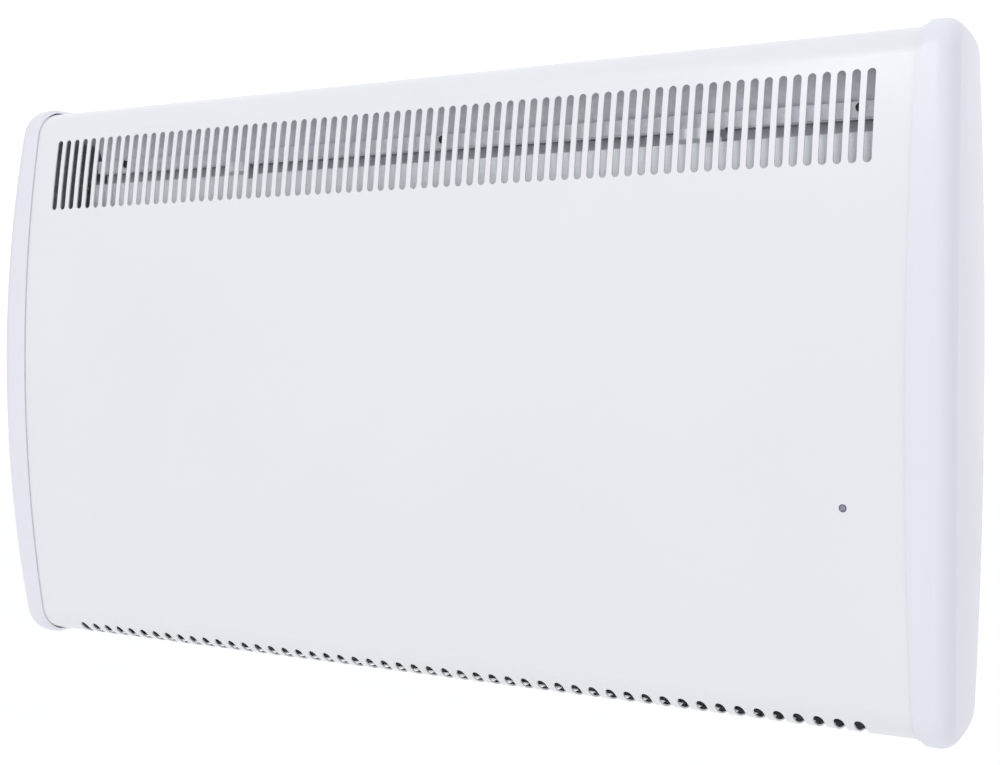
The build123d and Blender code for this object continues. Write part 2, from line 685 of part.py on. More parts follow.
def fan_right_plate():
    """Right end plate, holed for the shaft and drilled for the motor bolts."""
    plate = fan_plate(FAN_PLATE_RIGHT_X, 12.0)
    for y in motor_bolt_ys():
        plate -= rod((FAN_PLATE_RIGHT_X - 1, y, FAN_Z), (1, 0, 0), 2.0, 3)
    return plate


def motor_bolt_ys():
    """Y of the two long bolts through the motor."""
    return (FAN_Y - MOTOR_BOLT_OFFSET, FAN_Y + MOTOR_BOLT_OFFSET)


def fan_scroll():
    """Curved sheet round the back of the impeller, carried straight up to the shelf."""
    low_angle = math.radians(-75)
    middle_angle = low_angle / 2
    outer = SCROLL_RADIUS
    inner = SCROLL_RADIUS - STEEL

    def at(radius, angle):
        return (FAN_Y + radius * math.cos(angle), FAN_Z + radius * math.sin(angle))

    edges = [
        ThreePointArc(at(outer, low_angle), at(outer, middle_angle), at(outer, 0)),
        Line(at(outer, 0), (FAN_Y + outer, SHELF_Z)),
        Line((FAN_Y + outer, SHELF_Z), (FAN_Y + inner, SHELF_Z)),
        Line((FAN_Y + inner, SHELF_Z), at(inner, 0)),
        ThreePointArc(at(inner, 0), at(inner, middle_angle), at(inner, low_angle)),
        Line(at(inner, low_angle), at(outer, low_angle)),
    ]
    start_x = FAN_LEFT_X - FAN_PLATE_GAP
    return Pos(start_x, 0, 0) * extrude(Plane.YZ * make_face(edges), FAN_PLATE_RIGHT_X - start_x)


def vortex_tongue():
    """Folded strip that divides the fan's inlet from its outlet."""
    points = [(-85.0, SHELF_Z), (-85.0, SHELF_Z - 24), (-79.5, SHELF_Z - 34)]
    return folded_sheet(points, FAN_LEFT_X - FAN_PLATE_GAP, FAN_PLATE_RIGHT_X)


def motor_stator():
    """Laminated core with a round bore for the rotor and a window for the coil."""
    x_range = (CORE_X, CORE_X + CORE_STACK)
    core = box(x_range, (FAN_Y - 30, FAN_Y + 30), (FAN_Z - 28, CORE_TOP_Z))
    core = fillet(core.edges().filter_by(Axis.X), 3)
    core -= fan_axis_rod(CORE_X - 1, ROTOR_RADIUS + 0.4, CORE_STACK + 2)
    window_x = (CORE_X - 1, CORE_X + CORE_STACK + 1)
    core -= box(window_x, (FAN_Y - 20, FAN_Y + 20), (FAN_Z + 22, CORE_TOP_Z - 10))
    for y in motor_bolt_ys():
        core -= rod((CORE_X - 1, y, FAN_Z), (1, 0, 0), 2.0, CORE_STACK + 2)
    return core


def motor_coil():
    """Copper coil on a bobbin round the core's upper limb."""
    x_range = (CORE_X - 8, CORE_X + CORE_STACK + 8)
    coil = box(x_range, (FAN_Y - 16, FAN_Y + 16), (CORE_TOP_Z - 18, CORE_TOP_Z + 7.5))
    coil = fillet(coil.edges().filter_by(Axis.Y), 3)
    return coil - box((CORE_X, CORE_X + CORE_STACK), (FAN_Y - 17, FAN_Y + 17), (CORE_TOP_Z - 10, CORE_TOP_Z))


def motor_brackets():
    """Straps at both ends of the motor that hold its bushes."""
    straps = []
    for x in (CORE_X - 11, CORE_X + CORE_STACK + 9):
        strap = box((x, x + 2), (FAN_Y - 32, FAN_Y + 32), (FAN_Z - 9, FAN_Z + 9))
        strap = fillet(strap.edges().filter_by(Axis.X), 4)
        strap -= fan_axis_rod(x - 1, 6.5, 4)
        for y in motor_bolt_ys():
            strap -= rod((x - 1, y, FAN_Z), (1, 0, 0), 2.0, 4)
        straps.append(strap)
    return straps


def motor_bushes():
    """Two sintered bushes for the motor shaft."""
    starts = (CORE_X - 12.5, CORE_X + CORE_STACK + 7.5)
    return [fan_ring(x, SHAFT_RADIUS + RUNNING_GAP, 6.5, 5) for x in starts]


def motor_bolts():
    """Two long bolts that clamp the motor to the right fan plate."""
    bolts = []
    for y in motor_bolt_ys():
        head_x = CORE_X + CORE_STACK + 11
        length = head_x - FAN_PLATE_RIGHT_X + 4
        bolts.append(pan_screw((head_x, y, FAN_Z), (-1, 0, 0), shank_radius=2.0, shank_length=length))
    return bolts


def motor_spacers():
    """Tubes on the motor bolts between plate, straps and core."""
    spacers = []
    gaps = [
        (FAN_PLATE_RIGHT_X + STEEL, CORE_X - 11),
        (CORE_X - 9, CORE_X),
        (CORE_X + CORE_STACK, CORE_X + CORE_STACK + 9),
    ]
    for y in motor_bolt_ys():
        for start_x, end_x in gaps:
            tube = rod((start_x, y, FAN_Z), (1, 0, 0), 3.5, end_x - start_x)
            spacers.append(tube - rod((start_x - 1, y, FAN_Z), (1, 0, 0), 2.0, end_x - start_x + 2))
    return spacers


def control_housing():
    """Plastic box behind the circuit board, open to the front."""
    wall = 2.0
    x_range = (HOUSING_LEFT_X, HOUSING_RIGHT_X)
    z_range = (HOUSING_BOTTOM_Z, HOUSING_TOP_Z)
    housing = box(x_range, (BOARD_BACK_Y, -STEEL), z_range)
    housing = fillet(housing.edges().filter_by(Axis.Y), 4)
    inside_x = (HOUSING_LEFT_X + wall, HOUSING_RIGHT_X - wall)
    inside_z = (HOUSING_BOTTOM_Z + wall, HOUSING_TOP_Z - wall)
    housing -= box(inside_x, (BOARD_BACK_Y - 1, -STEEL - wall), inside_z)
    notch_z = (HOUSING_BOTTOM_Z - 1, HOUSING_BOTTOM_Z + wall + 1)
    return housing - box((CABLE_X - 8, CABLE_X + 8), (-26, -8), notch_z)


def control_board():
    """Circuit board on the front edge of the housing."""
    x_range = (HOUSING_LEFT_X, HOUSING_RIGHT_X)
    return box(x_range, (BOARD_BACK_Y - BOARD_THICKNESS, BOARD_BACK_Y), (HOUSING_BOTTOM_Z, HOUSING_TOP_Z))


def on_board(x, z, width, height, depth, edge_radius=0.8):
    """A block of the given width, height and depth standing on the board's front."""
    front = BOARD_BACK_Y - BOARD_THICKNESS
    block = box((x - width / 2, x + width / 2), (front - depth, front), (z - height / 2, z + height / 2))
    return fillet(block.edges().filter_by(Axis.Y), edge_radius)


def relays():
    """Two power relays."""
    return [on_board(x, 76, 19, 15, 15) for x in (285, 316)]


def transformer():
    """Small encapsulated mains transformer."""
    return on_board(296, 34, 32, 27, 22, 1.5)


def filter_capacitors():
    """Two box capacitors."""
    return [on_board(x, -2, 8, 17, 14) for x in (284, 298)]


def radio_module():
    """Receiver module with a screening can."""
    module = on_board(318, -20, 22, 30, 1.2, 0.4)
    return module + on_board(318, -17, 17, 18, 3.4, 0.6)


def push_switch():
    """Tactile switch under the pairing button."""
    front = BOARD_BACK_Y - BOARD_THICKNESS
    body = on_board(BUTTON_X, BUTTON_Z, SWITCH_SIZE, SWITCH_SIZE, SWITCH_HEIGHT, 0.5)
    return body + rod((BUTTON_X, front - SWITCH_HEIGHT + 0.1, BUTTON_Z), (0, -1, 0), 1.5, 0.4)


def button_guide():
    """Tube that stands over the switch and guides the button."""
    front = BOARD_BACK_Y - BOARD_THICKNESS
    base = on_board(BUTTON_X, BUTTON_Z, 11, 11, SWITCH_HEIGHT + 2, 1.5)
    base -= on_board(BUTTON_X, BUTTON_Z, SWITCH_SIZE + 0.4, SWITCH_SIZE + 0.4, SWITCH_HEIGHT + 0.8, 0.5)
    tube = rod((BUTTON_X, front - SWITCH_HEIGHT - 1, BUTTON_Z), (0, -1, 0), 4.0, 30)
    return base + tube - rod((BUTTON_X, front, BUTTON_Z), (0, -1, 0), BUTTON_RADIUS + 0.35, 40)


def pairing_button():
    """Clear push button, lit from behind, that shows in the cover's small hole."""
    face_y = front_y(BUTTON_Z) + BUTTON_RECESS
    switch_tip = BOARD_BACK_Y - BOARD_THICKNESS - SWITCH_HEIGHT - 0.3
    end_y = switch_tip - BUTTON_TRAVEL - 0.3
    button = rod((BUTTON_X, face_y, BUTTON_Z), (0, 1, 0), BUTTON_RADIUS, end_y - face_y)
    button = fillet(button.edges().sort_by(Axis.Y)[0], 0.5)
    collar_y = front_y(BUTTON_Z) + PANEL_SHEET + 0.35
    return button + rod((BUTTON_X, collar_y, BUTTON_Z), (0, 1, 0), 3.4, 1.2)


def terminal_block():
    """Three-pole terminal block on the chassis."""
    block = box((281, 319), (-18, -STEEL), (-146, -128))
    block = fillet(block.edges().filter_by(Axis.Y), 1.5)
    for x in TERMINAL_XS:
        block -= rod((x, -9, -147), (0, 0, 1), 2.2, 20)
        block -= rod((x, -19, -141), (0, 1, 0), 2.0, 10)
    return block


def terminal_screws():
    """Clamping screws of the terminal block."""
    screws = []
    for x in TERMINAL_XS:
        screw = rod((x, -17, -141), (0, 1, 0), 2.0, 5.5)
        screws.append(screw - box((x - 2.5, x + 2.5), (-18, -16), (-141.35, -140.65)))
    return screws


def cord_clamp():
    """Plastic bridge that grips the supply cord inside the entry."""
    z = -160.0
    clamp = box((CABLE_X - 16, CABLE_X + 16), (-15, -STEEL), (z - 4, z + 4))
    clamp = fillet(clamp.edges().filter_by(Axis.Z), 2)
    clamp -= rod((CABLE_X, -8, z - 5), (0, 0, 1), 4.2, 10)
    for x in (CABLE_X - 11, CABLE_X + 11):
        clamp -= rod((x, -16, z), (0, 1, 0), SCREW_RADIUS, 16)
    return clamp


def clamp_screws():
    """Two screws that close the cord clamp."""
    return [pan_screw((x, -15, -160.0), (0, 1, 0), shank_length=13.0) for x in (CABLE_X - 11, CABLE_X + 11)]


def cable_grommet():
    """Rubber grommet in the chassis for the supply cord."""
    neck = rod((CABLE_X, 0, CABLE_Z), (0, -1, 0), CABLE_HOLE_RADIUS, 5)
    collar = rod((CABLE_X, -STEEL, CABLE_Z), (0, -1, 0), CABLE_HOLE_RADIUS + 2.5, 3)
    return neck + collar - rod((CABLE_X, 1, CABLE_Z), (0, -1, 0), GROMMET_BORE_RADIUS, 8)


def earth_stud():
    """Earthing stud with its nut on the chassis."""
    x = 262.0
    z = -140.0
    stud = rod((x, -STEEL, z), (0, -1, 0), 2.0, 12)
    nut_plane = Plane(origin=(x, -STEEL - 1, z), z_dir=(0, -1, 0))
    washer = rod((x, -STEEL, z), (0, -1, 0), 4.5, 1.0)
    return stud + washer + extrude(nut_plane * RegularPolygon(4.0, 6), 3.2)


def wire(points, radii, radius):
    """An insulated wire along straight runs joined by arcs."""
    path = FilletPolyline(*points, radius=radii)
    start = Vector(*points[0])
    section = Plane(origin=start, z_dir=(Vector(*points[1]) - start)) * Circle(radius)
    return sweep(section, path=path)


def internal_wiring():
    """Wires from the board to the motor and from the terminal block to the board."""
    board_feed = wire([(294, -10, -128), (294, -10, -118), (298, -14, -108), (300, -20, -90)], [9, 12], 2.0)
    motor_feed = wire([(268, -20, -90), (240, -20, -90), (200, -34, -80), (170, -50, -76)], [24, 24], 1.8)
    return [board_feed, motor_feed]


NODES = {
    "front_cover": front_cover,
    "left_end_cap": left_end_cap,
    "right_end_cap": right_end_cap,
    "rear_chassis": rear_chassis,
    "left_end_bracket": lambda: end_bracket(-1),
    "right_end_bracket": right_end_bracket,
    "cover_screws": cover_screws,
    "cap_screws": cap_screws,
    "outlet_hood": outlet_hood,
    "hood_screws": hood_screws,
    "heat_shield": heat_shield,
    "shield_screws": shield_screws,
    "duct_left_side": duct_left_side,
    "duct_right_side": duct_right_side,
    "duct_back": duct_back,
    "fan_shelf": fan_shelf,
    "heating_element": heating_element,
    "element_fins": element_fins,
    "element_support": element_support,
    "element_bushes": element_bushes,
    "thermal_cutout": thermal_cutout,
    "air_sensor": air_sensor,
    "fan_impeller": fan_impeller,
    "fan_stub_shaft": fan_stub_shaft,
    "motor_shaft": motor_shaft,
    "motor_rotor": motor_rotor,
    "left_bearing": left_bearing,
    "bearing_mount": bearing_mount,
    "fan_left_plate": fan_left_plate,
    "fan_right_plate": fan_right_plate,
    "fan_scroll": fan_scroll,
    "vortex_tongue": vortex_tongue,
    "motor_stator": motor_stator,
    "motor_coil": motor_coil,
    "motor_brackets": motor_brackets,
    "motor_bushes": motor_bushes,
    "motor_bolts": motor_bolts,
    "motor_spacers": motor_spacers,
    "control_housing": control_housing,
    "control_board": control_board,
    "relays": relays,
    "transformer": transformer,
    "filter_capacitors": filter_capacitors,
    "radio_module": radio_module,
    "push_switch": push_switch,
    "button_guide": button_guide,
    "pairing_button": pairing_button,
    "terminal_block": terminal_block,
    "terminal_screws": terminal_screws,
    "cord_clamp": cord_clamp,
    "clamp_screws": clamp_screws,
    "cable_grommet": cable_grommet,
    "earth_stud": earth_stud,
    "internal_wiring": internal_wiring,
}


os.makedirs("parts", exist_ok=True)
for name, build in NODES.items():
    made = build()
    pieces = made if isinstance(made, list) else [made]
    solids = [solid for piece in pieces for solid in piece.solids()]
    shape = solids[0] if len(solids) == 1 else Compound(children=solids)
    export_step(shape, f"parts/{name}.step")
    print(name, len(solids), round(sum(solid.volume for solid in solids), 1))
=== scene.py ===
"""A wall-hung fan convector heater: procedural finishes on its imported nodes, in a pale studio."""

import json
import math

import bpy
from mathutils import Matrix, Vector

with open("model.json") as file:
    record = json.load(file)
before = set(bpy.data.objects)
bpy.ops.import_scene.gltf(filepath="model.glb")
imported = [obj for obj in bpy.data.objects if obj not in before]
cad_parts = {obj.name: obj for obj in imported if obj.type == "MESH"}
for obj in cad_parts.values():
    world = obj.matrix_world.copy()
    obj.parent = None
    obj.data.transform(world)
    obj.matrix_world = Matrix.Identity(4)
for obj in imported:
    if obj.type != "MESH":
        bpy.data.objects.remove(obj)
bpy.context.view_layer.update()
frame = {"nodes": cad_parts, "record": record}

# Camera, in metres and degrees, in the frame of the wall fixings.
CAMERA_PLACE = (0.6275, -0.9943, 0.0275)
CAMERA_YAW = 31.35
CAMERA_PITCH = -1.6
CAMERA_ROLL = 0.02
LENS_MM = 57.6
SENSOR_MM = 36.0
NEAR_CLIP = 0.05
FAR_CLIP = 60.0

# The sky, and how far its strength falls towards the far left and right.
SKY_COLOUR = (0.985, 0.99, 1.035, 1.0)
SKY_STRENGTH = 1.17
SIDE_SHADE = 0.5
SIDE_SHADE_START_X = 0.45
SIDE_SHADE_START_Y = 0.5
SIDE_SHADE_FULL_Y = 0.1

# Soft lights: place, point they face, width, height and power, in metres and watts.
KEY_LIGHT = ((-0.32, -1.75, 1.35), (0.345, -0.09, 0.17), 0.35, 0.6, 6)
LOW_FILL_LIGHT = ((0.3, -1.9, -0.9), (0.1, 0, -0.1), 1.2, 0.8, 2.5)

FLOOR_Z = -1.1
FLOOR_HALF_WIDTH = 14.0

# One millimetre of pattern, as a texture scale for coordinates in metres.
PER_MM = 1000.0

# The part of a noise texture's range that most of it lies in.
NOISE_LOW = 0.3
NOISE_HIGH = 0.7


# ---------------------------------------------------------------- node helpers


class Finish:
    """One material, with short calls for the nodes that the finishes share."""

    def __init__(self, name):
        self.material = bpy.data.materials.new(name)
        self.material.use_nodes = True
        self.nodes = self.material.node_tree.nodes
        self.links = self.material.node_tree.links
        self.shader = self.nodes["Principled BSDF"]
        self.place = self.nodes.new("ShaderNodeTexCoord").outputs["Object"]

    def set(self, **sockets):
        """Plain values on the shader's own sockets, with _ for a space."""
        for name, value in sockets.items():
            self.shader.inputs[name.replace("_", " ")].default_value = value

    def link(self, output, socket):
        """Feeds a node's output to a socket of the shader."""
        self.links.new(output, self.shader.inputs[socket])

    def stretched(self, x, y, z):
        """Object coordinates multiplied along each axis, for grain with a direction."""
        node = self.nodes.new("ShaderNodeMapping")
        node.inputs["Scale"].default_value = (x, y, z)
        self.links.new(self.place, node.inputs["Vector"])
        return node.outputs["Vector"]

    def noise(self, scale, detail=3.0, vector=None):
        """Soft random patches, as a value about 0.5."""
        node = self.nodes.new("ShaderNodeTexNoise")
        node.inputs["Scale"].default_value = scale
        node.inputs["Detail"].default_value = detail
        node.inputs["Roughness"].default_value = 0.5
        self.links.new(vector or self.place, node.inputs["Vector"])
        return node.outputs["Fac"]

    def cells(self, scale, output="Color", feature="F1"):
        """Random cells: a shade for each, or the distance to its middle or edge."""
        node = self.nodes.new("ShaderNodeTexVoronoi")
        node.feature = feature
        node.inputs["Scale"].default_value = scale
        self.links.new(self.place, node.inputs["Vector"])
        return node.outputs[output]

    def waves(self, scale, direction, distortion=0.0):
        """Even bands across one axis."""
        node = self.nodes.new("ShaderNodeTexWave")
        node.bands_direction = direction
        node.inputs["Scale"].default_value = scale
        node.inputs["Distortion"].default_value = distortion
        self.links.new(self.place, node.inputs["Vector"])
        return node.outputs["Fac"]

    def remap(self, value, from_low, from_high, to_low, to_high):
        """Moves a value from one range to another."""
        node = self.nodes.new("ShaderNodeMapRange")
        node.inputs["From Min"].default_value = from_low
        node.inputs["From Max"].default_value = from_high
        node.inputs["To Min"].default_value = to_low
        node.inputs["To Max"].default_value = to_high
        self.links.new(value, node.inputs["Value"])
        return node.outputs["Result"]

    def ramp(self, value, *stops):
        """A colour ramp from (position, (r, g, b)) stops."""
        node = self.nodes.new("ShaderNodeValToRGB")
        elements = node.color_ramp.elements
        while len(elements) < len(stops):
            elements.new(0.5)
        for element, (position, colour) in zip(elements, stops):
            element.position = position
            element.color = (*colour, 1.0)
        self.links.new(value, node.inputs["Fac"])
        return node.outputs["Color"]

    def mix(self, factor, first, second, blend="MIX"):
        """Mixes two colours, each given as (r, g, b) or as a node's output."""
        node = self.nodes.new("ShaderNodeMix")
        node.data_type = "RGBA"
        node.blend_type = blend
        for socket, value in zip(("Factor", "A", "B"), (factor, first, second)):
            target = next(s for s in node.inputs if s.name == socket and s.enabled)
            if isinstance(value, (int, float)):
                target.default_value = value
            elif isinstance(value, tuple):
                target.default_value = (*value, 1.0)
            else:
                self.links.new(value, target)
        return next(s for s in node.outputs if s.enabled)

    def bump(self, height, distance, strength=1.0):
        """A bump of the given depth in metres, on top of any bump made before."""
        node = self.nodes.new("ShaderNodeBump")
        node.inputs["Strength"].default_value = strength
        node.inputs["Distance"].default_value = distance
        self.links.new(height, node.inputs["Height"])
        normal = self.shader.inputs["Normal"]
        if normal.links:
            self.links.new(normal.links[0].from_socket, node.inputs["Normal"])
        self.links.new(node.outputs["Normal"], normal)


def grey_range(middle, spread, tint=(1.0, 1.0, 1.0)):
    """A darker and a lighter stop about a middle grey, for a gentle mottle."""
    dark = tuple(c * (middle - spread) for c in tint)
    light = tuple(c * (middle + spread) for c in tint)
    return (NOISE_LOW, dark), (NOISE_HIGH, light)


# ---------------------------------------------------------------- finishes


def cover_paint():
    """Satin polyester powder coat: faint orange peel, a hair greyer in broad patches."""
    paint = Finish("powder_coat_white")
    paint.set(Specular_IOR_Level=0.45, Coat_Weight=0.10, Coat_Roughness=0.12)
    patches = paint.noise(6.0, detail=2.0)
    peel = paint.noise(0.55 * PER_MM, detail=2.0)
    paint.link(paint.ramp(patches, *grey_range(0.690, 0.006, (0.99, 1.0, 1.012))), "Base Color")
    paint.link(paint.remap(peel, NOISE_LOW, NOISE_HIGH, 0.30, 0.38), "Roughness")
    paint.bump(peel, 0.00002, 0.5)
    return paint.material


def cap_plastic():
    """Smooth white moulding with a fine spark-eroded grain and faint flow marks."""
    plastic = Finish("moulded_white_cap")
    plastic.set(Specular_IOR_Level=0.5)
    flow = plastic.noise(9.0, detail=3.0, vector=plastic.stretched(1.0, 1.0, 0.25))
    grain = plastic.noise(1.4 * PER_MM, detail=2.0)
    plastic.link(plastic.ramp(flow, *grey_range(0.675, 0.010, (0.985, 0.99, 1.045))), "Base Color")
    plastic.link(plastic.remap(grain, NOISE_LOW, NOISE_HIGH, 0.30, 0.40), "Roughness")
    plastic.bump(grain, 0.000012, 0.5)
    return plastic.material


def galvanised():
    """Hot-dipped sheet: grey zinc crystals of a few millimetres, each its own shade."""
    zinc = Finish("galvanised_sheet")
    zinc.set(Metallic=0.2, Specular_IOR_Level=0.6)
    warp = zinc.noise(40.0, detail=2.0)
    crystal = zinc.cells(0.25 * PER_MM)
    shade = zinc.ramp(crystal, *grey_range(0.66, 0.035, (0.98, 0.98, 1.04)))
    dull = zinc.ramp(warp, (0.35, (0.86, 0.87, 0.89)), (0.7, (1.0, 1.0, 1.0)))
    zinc.link(zinc.mix(1.0, shade, dull, "MULTIPLY"), "Base Color")
    zinc.link(zinc.remap(crystal, 0.0, 1.0, 0.38, 0.56), "Roughness")
    zinc.bump(zinc.noise(0.9 * PER_MM), 0.00001, 0.6)
    return zinc.material


def shield_steel():
    """Bright zinc-coated sheet with rolling marks along its length."""
    steel = Finish("bright_zinc_sheet")
    steel.set(Metallic=0.45)
    rolled = steel.noise(1.0 * PER_MM, detail=4.0, vector=steel.stretched(0.02, 1.0, 1.0))
    cloud = steel.noise(18.0, detail=2.0)
    shade = steel.ramp(cloud, *grey_range(0.76, 0.03, (0.97, 1.0, 1.02)))
    streak = steel.ramp(rolled, (0.3, (0.93, 0.94, 0.95)), (0.7, (1.0, 1.0, 1.0)))
    steel.link(steel.mix(1.0, shade, streak, "MULTIPLY"), "Base Color")
    steel.link(steel.remap(rolled, NOISE_LOW, NOISE_HIGH, 0.34, 0.50), "Roughness")
    steel.bump(rolled, 0.000006, 0.6)
    return steel.material


def screw_steel():
    """Zinc plating with a faint warm passivation and light handling marks."""
    plate = Finish("zinc_plated_steel")
    plate.set(Metallic=1.0)
    film = plate.noise(0.25 * PER_MM, detail=3.0)
    scuff = plate.noise(1.8 * PER_MM, detail=4.0)
    plate.link(
        plate.ramp(film, (0.3, (0.56, 0.55, 0.50)), (0.55, (0.62, 0.62, 0.60)), (0.8, (0.58, 0.60, 0.64))),
        "Base Color",
    )
    plate.link(plate.remap(scuff, NOISE_LOW, NOISE_HIGH, 0.22, 0.42), "Roughness")
    plate.bump(scuff, 0.00001, 0.4)
    return plate.material


def black_steel():
    """Near-black screw heads with painted shade: the black stands in for the shadow at the screw holes.
    Scuffed a little in random patches.
    """
    painted_shade_heads = Finish("screw_black_painted_shade")
    painted_shade_heads.set(Metallic=0.8)
    scuff = painted_shade_heads.noise(1.2 * PER_MM, detail=4.0)
    # painted shade: near-black colour stands in for the shadow at the hood's screw holes
    painted_shade_heads.link(painted_shade_heads.ramp(scuff, (0.35, (0.030, 0.030, 0.034)), (0.8, (0.09, 0.09, 0.10))), "Base Color")
    painted_shade_heads.link(painted_shade_heads.remap(scuff, NOISE_LOW, NOISE_HIGH, 0.38, 0.58), "Roughness")
    painted_shade_heads.bump(scuff, 0.00001, 0.4)
    return painted_shade_heads.material


def element_sheath():
    """Heater sheath steel, brown to blue where it has run hot."""
    sheath = Finish("heat_tinted_sheath")
    sheath.set(Metallic=1.0)
    heat = sheath.noise(22.0, detail=3.0)
    draw = sheath.noise(1.2 * PER_MM, detail=3.0, vector=sheath.stretched(0.04, 1.0, 1.0))
    sheath.link(
        sheath.ramp(
            heat, (0.25, (0.16, 0.13, 0.11)), (0.5, (0.24, 0.19, 0.14)), (0.75, (0.13, 0.14, 0.19))
        ),
        "Base Color",
    )
    sheath.link(sheath.remap(draw, NOISE_LOW, NOISE_HIGH, 0.38, 0.58), "Roughness")
    sheath.bump(draw, 0.00001, 0.6)
    return sheath.material


def mill_aluminium(name, middle):
    """Mill-finish aluminium strip with fine rolling lines."""
    strip = Finish(name)
    strip.set(Metallic=1.0)
    lines = strip.noise(2.0 * PER_MM, detail=4.0, vector=strip.stretched(1.0, 1.0, 0.03))
    haze = strip.noise(60.0, detail=2.0)
    strip.link(strip.ramp(haze, *grey_range(middle, 0.05, (0.99, 1.0, 1.01))), "Base Color")
    strip.link(strip.remap(lines, NOISE_LOW, NOISE_HIGH, 0.26, 0.44), "Roughness")
    strip.bump(lines, 0.000006, 0.6)
    return strip.material


def fin_aluminium():
    """The element's fins, a little duller than the impeller."""
    return mill_aluminium("fin_aluminium", 0.66)


def fan_aluminium():
    """The impeller's bright strip."""
    return mill_aluminium("fan_aluminium", 0.72)


def core_steel():
    """Varnished motor laminations, half a millimetre thick, stacked along the shaft."""
    stack = Finish("varnished_laminations")
    stack.set(Metallic=0.6)
    plates = stack.waves(0.32 * PER_MM, "X")
    varnish = stack.noise(0.12 * PER_MM, detail=3.0)
    stack.link(
        stack.ramp(varnish, (0.3, (0.055, 0.055, 0.065)), (0.75, (0.12, 0.12, 0.135))), "Base Color"
    )
    stack.link(stack.remap(plates, 0.0, 1.0, 0.55, 0.36), "Roughness")
    stack.bump(plates, 0.00006, 0.8)
    return stack.material


def bronze():
    """Sintered bronze: open-pored and oil-darkened."""
    metal = Finish("sintered_bronze")
    metal.set(Metallic=1.0)
    pores = metal.cells(3.0 * PER_MM, "Distance")
    oil = metal.noise(0.3 * PER_MM)
    metal.link(metal.ramp(oil, (0.3, (0.30, 0.20, 0.10)), (0.7, (0.52, 0.38, 0.20))), "Base Color")
    metal.link(metal.remap(pores, 0.0, 0.6, 0.62, 0.36), "Roughness")
    metal.bump(pores, 0.00003, 0.5)
    return metal.material


def copper_coil():
    """Enamelled winding: close turns of fine wire, amber where the varnish pools."""
    coil = Finish("enamelled_winding")
    coil.set(Metallic=0.85, Coat_Weight=0.5, Coat_Roughness=0.15)
    turns = coil.waves(0.75 * PER_MM, "Z", 0.6)
    pool = coil.noise(0.15 * PER_MM, detail=3.0)
    coil.link(coil.ramp(pool, (0.3, (0.30, 0.09, 0.03)), (0.7, (0.62, 0.26, 0.11))), "Base Color")
    coil.link(coil.remap(turns, 0.0, 1.0, 0.5, 0.25), "Roughness")
    coil.bump(turns, 0.00012, 0.9)
    return coil.material


def ceramic():
    """Unglazed steatite, chalky with a fine tooth."""
    body = Finish("unglazed_steatite")
    tooth = body.noise(1.6 * PER_MM, detail=4.0)
    stain = body.noise(0.12 * PER_MM, detail=2.0)
    body.link(body.ramp(stain, (0.3, (0.66, 0.62, 0.54)), (0.7, (0.78, 0.76, 0.70))), "Base Color")
    body.link(body.remap(tooth, NOISE_LOW, NOISE_HIGH, 0.6, 0.8), "Roughness")
    body.bump(tooth, 0.00003, 0.6)
    return body.material


def rubber():
    """Matt black rubber with a dusty bloom."""
    sleeve = Finish("black_rubber")
    bloom = sleeve.noise(0.2 * PER_MM, detail=4.0)
    tooth = sleeve.noise(1.5 * PER_MM)
    sleeve.link(
        sleeve.ramp(bloom, (0.3, (0.012, 0.012, 0.013)), (0.75, (0.035, 0.035, 0.036))), "Base Color"
    )
    sleeve.link(sleeve.remap(bloom, NOISE_LOW, NOISE_HIGH, 0.62, 0.82), "Roughness")
    sleeve.bump(tooth, 0.00002, 0.6)
    return sleeve.material


def moulded(name, dark, light, roughness, grain_depth):
    """Injection moulding with a fine even grain and a little colour drift."""
    plastic = Finish(name)
    drift = plastic.noise(0.05 * PER_MM, detail=2.0)
    grain = plastic.cells(1.6 * PER_MM, "Distance")
    plastic.link(plastic.ramp(drift, (0.3, dark), (0.7, light)), "Base Color")
    plastic.link(plastic.remap(grain, 0.0, 0.7, roughness + 0.08, roughness - 0.06), "Roughness")
    plastic.bump(grain, grain_depth, 0.5)
    return plastic.material


def dark_plastic():
    """Black housings and switch bodies."""
    return moulded("moulded_black", (0.014, 0.014, 0.016), (0.022, 0.022, 0.024), 0.45, 0.00003)


def white_plastic():
    """Undyed fittings: terminal block, clamp and button guide."""
    return moulded("moulded_natural", (0.70, 0.70, 0.66), (0.76, 0.76, 0.73), 0.42, 0.00002)


def relay_blue():
    """The blue cases of relays and capacitors."""
    return moulded("moulded_blue", (0.015, 0.045, 0.17), (0.022, 0.06, 0.21), 0.32, 0.00002)


def circuit_board():
    """Green solder mask over copper tracks, with the weave of the laminate beneath."""
    board = Finish("solder_masked_board")
    board.set(Coat_Weight=0.3, Coat_Roughness=0.2)
    tracks = board.cells(0.12 * PER_MM, "Distance", "DISTANCE_TO_EDGE")
    weave = board.waves(0.9 * PER_MM, "X")
    track = board.remap(tracks, 0.02, 0.07, 1.0, 0.0)
    board.link(board.mix(track, (0.010, 0.085, 0.035), (0.035, 0.20, 0.075)), "Base Color")
    board.link(board.remap(weave, 0.0, 1.0, 0.30, 0.38), "Roughness")
    board.bump(track, 0.00004, 0.6)
    board.bump(weave, 0.000005, 0.4)
    return board.material


def button_clear():
    """Clear moulding over an unlit lamp: smoky, with painted highlights: the colour is lighter in random
    facet patches, standing in for where it catches light.
    """
    lens = Finish("clear_lens")
    lens.set(Transmission_Weight=0.35, IOR=1.49, Coat_Weight=0.6, Coat_Roughness=0.05)
    facets_and_painted_glints = lens.cells(0.9 * PER_MM, "Distance")
    # painted highlight: lighter colour on the facet cells stands in for glints; the same cells also set
    # real roughness and bump
    lens.link(lens.ramp(facets_and_painted_glints, (0.1, (0.16, 0.17, 0.24)), (0.6, (0.36, 0.38, 0.50))), "Base Color")
    lens.link(lens.remap(facets_and_painted_glints, 0.0, 0.6, 0.08, 0.25), "Roughness")
    lens.bump(facets_and_painted_glints, 0.0001, 0.6)
    return lens.material


